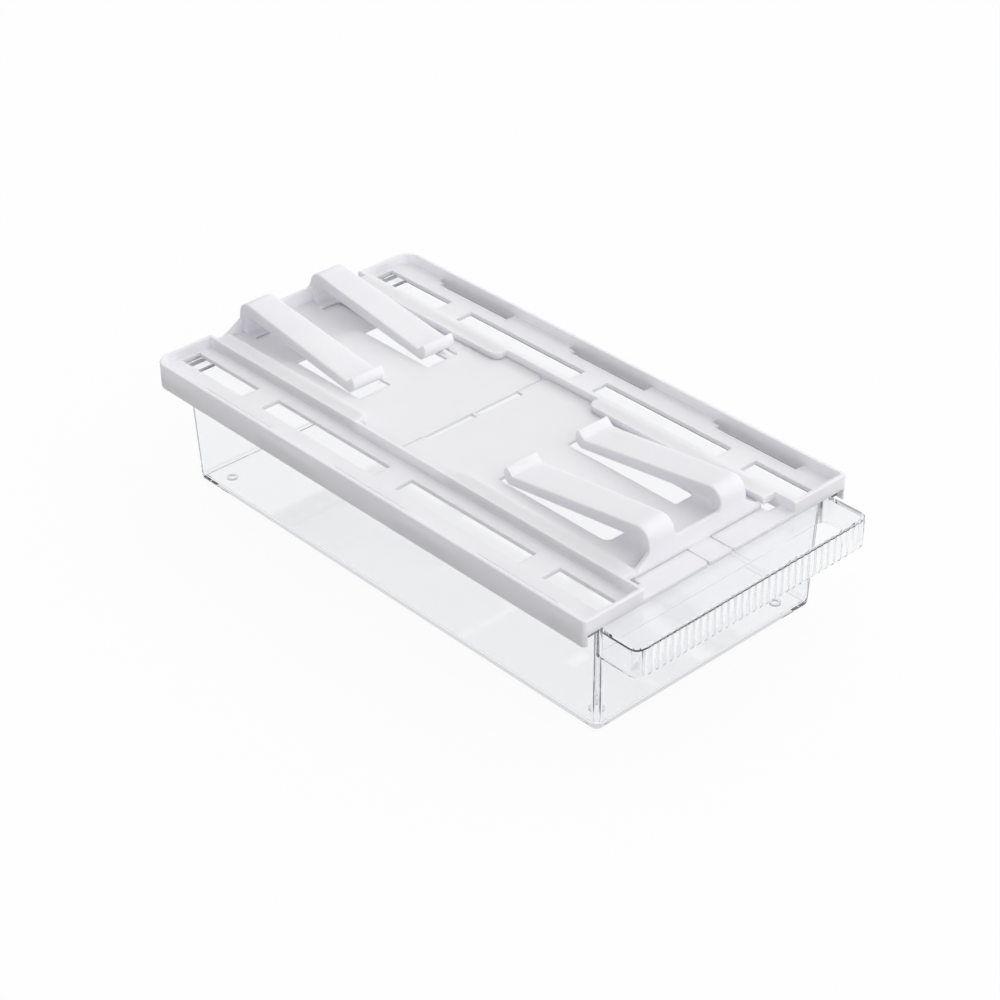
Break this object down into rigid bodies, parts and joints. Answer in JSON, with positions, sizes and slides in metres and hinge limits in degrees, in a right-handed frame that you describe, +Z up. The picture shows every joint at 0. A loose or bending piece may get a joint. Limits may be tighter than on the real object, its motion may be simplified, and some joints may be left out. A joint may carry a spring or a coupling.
{
  "type": "fridge drawer organizer",
  "caption": "Clear pull-out drawer hung from a slotted rail frame whose spring-clip plates slide out to grip a shelf by its front and back edges.",
  "frame": {"origin": "bottom centre of the whole object's bounding box, on the plane of the drawer's feet", "axes": "+Z up towards the shelf, -Y towards the user (the side with the pull), +X to the user's right; +Y is the long way, front to back"},
  "size_m": [0.172, 0.3328, 0.085],
  "materials": {
    "frame_plastic": "satin injection-moulded white ABS",
    "clip_plastic": "satin injection-moulded white ABS",
    "clear_plastic": null
  },
  "bodies": {
    "frame": {"rail_frame": "frame_plastic"},
    "front_plate": {"front_clip_plate": "clip_plastic"},
    "rear_plate": {"rear_clip_plate": "clip_plastic"},
    "drawer_body": {"drawer": "clear_plastic"}
  },
  "joints": [
    {"name": "drawer_slide", "type": "slide", "parent": "frame", "child": "drawer_body", "axis": [0, -1, 0], "range_m": [0, 0.26]},
    {"name": "front_plate_slide", "type": "slide", "parent": "frame", "child": "front_plate", "axis": [0, -1, 0], "range_m": [0, 0.06]},
    {"name": "rear_plate_slide", "type": "slide", "parent": "frame", "child": "rear_plate", "axis": [0, 1, 0], "range_m": [0, 0.06]}
  ]
}
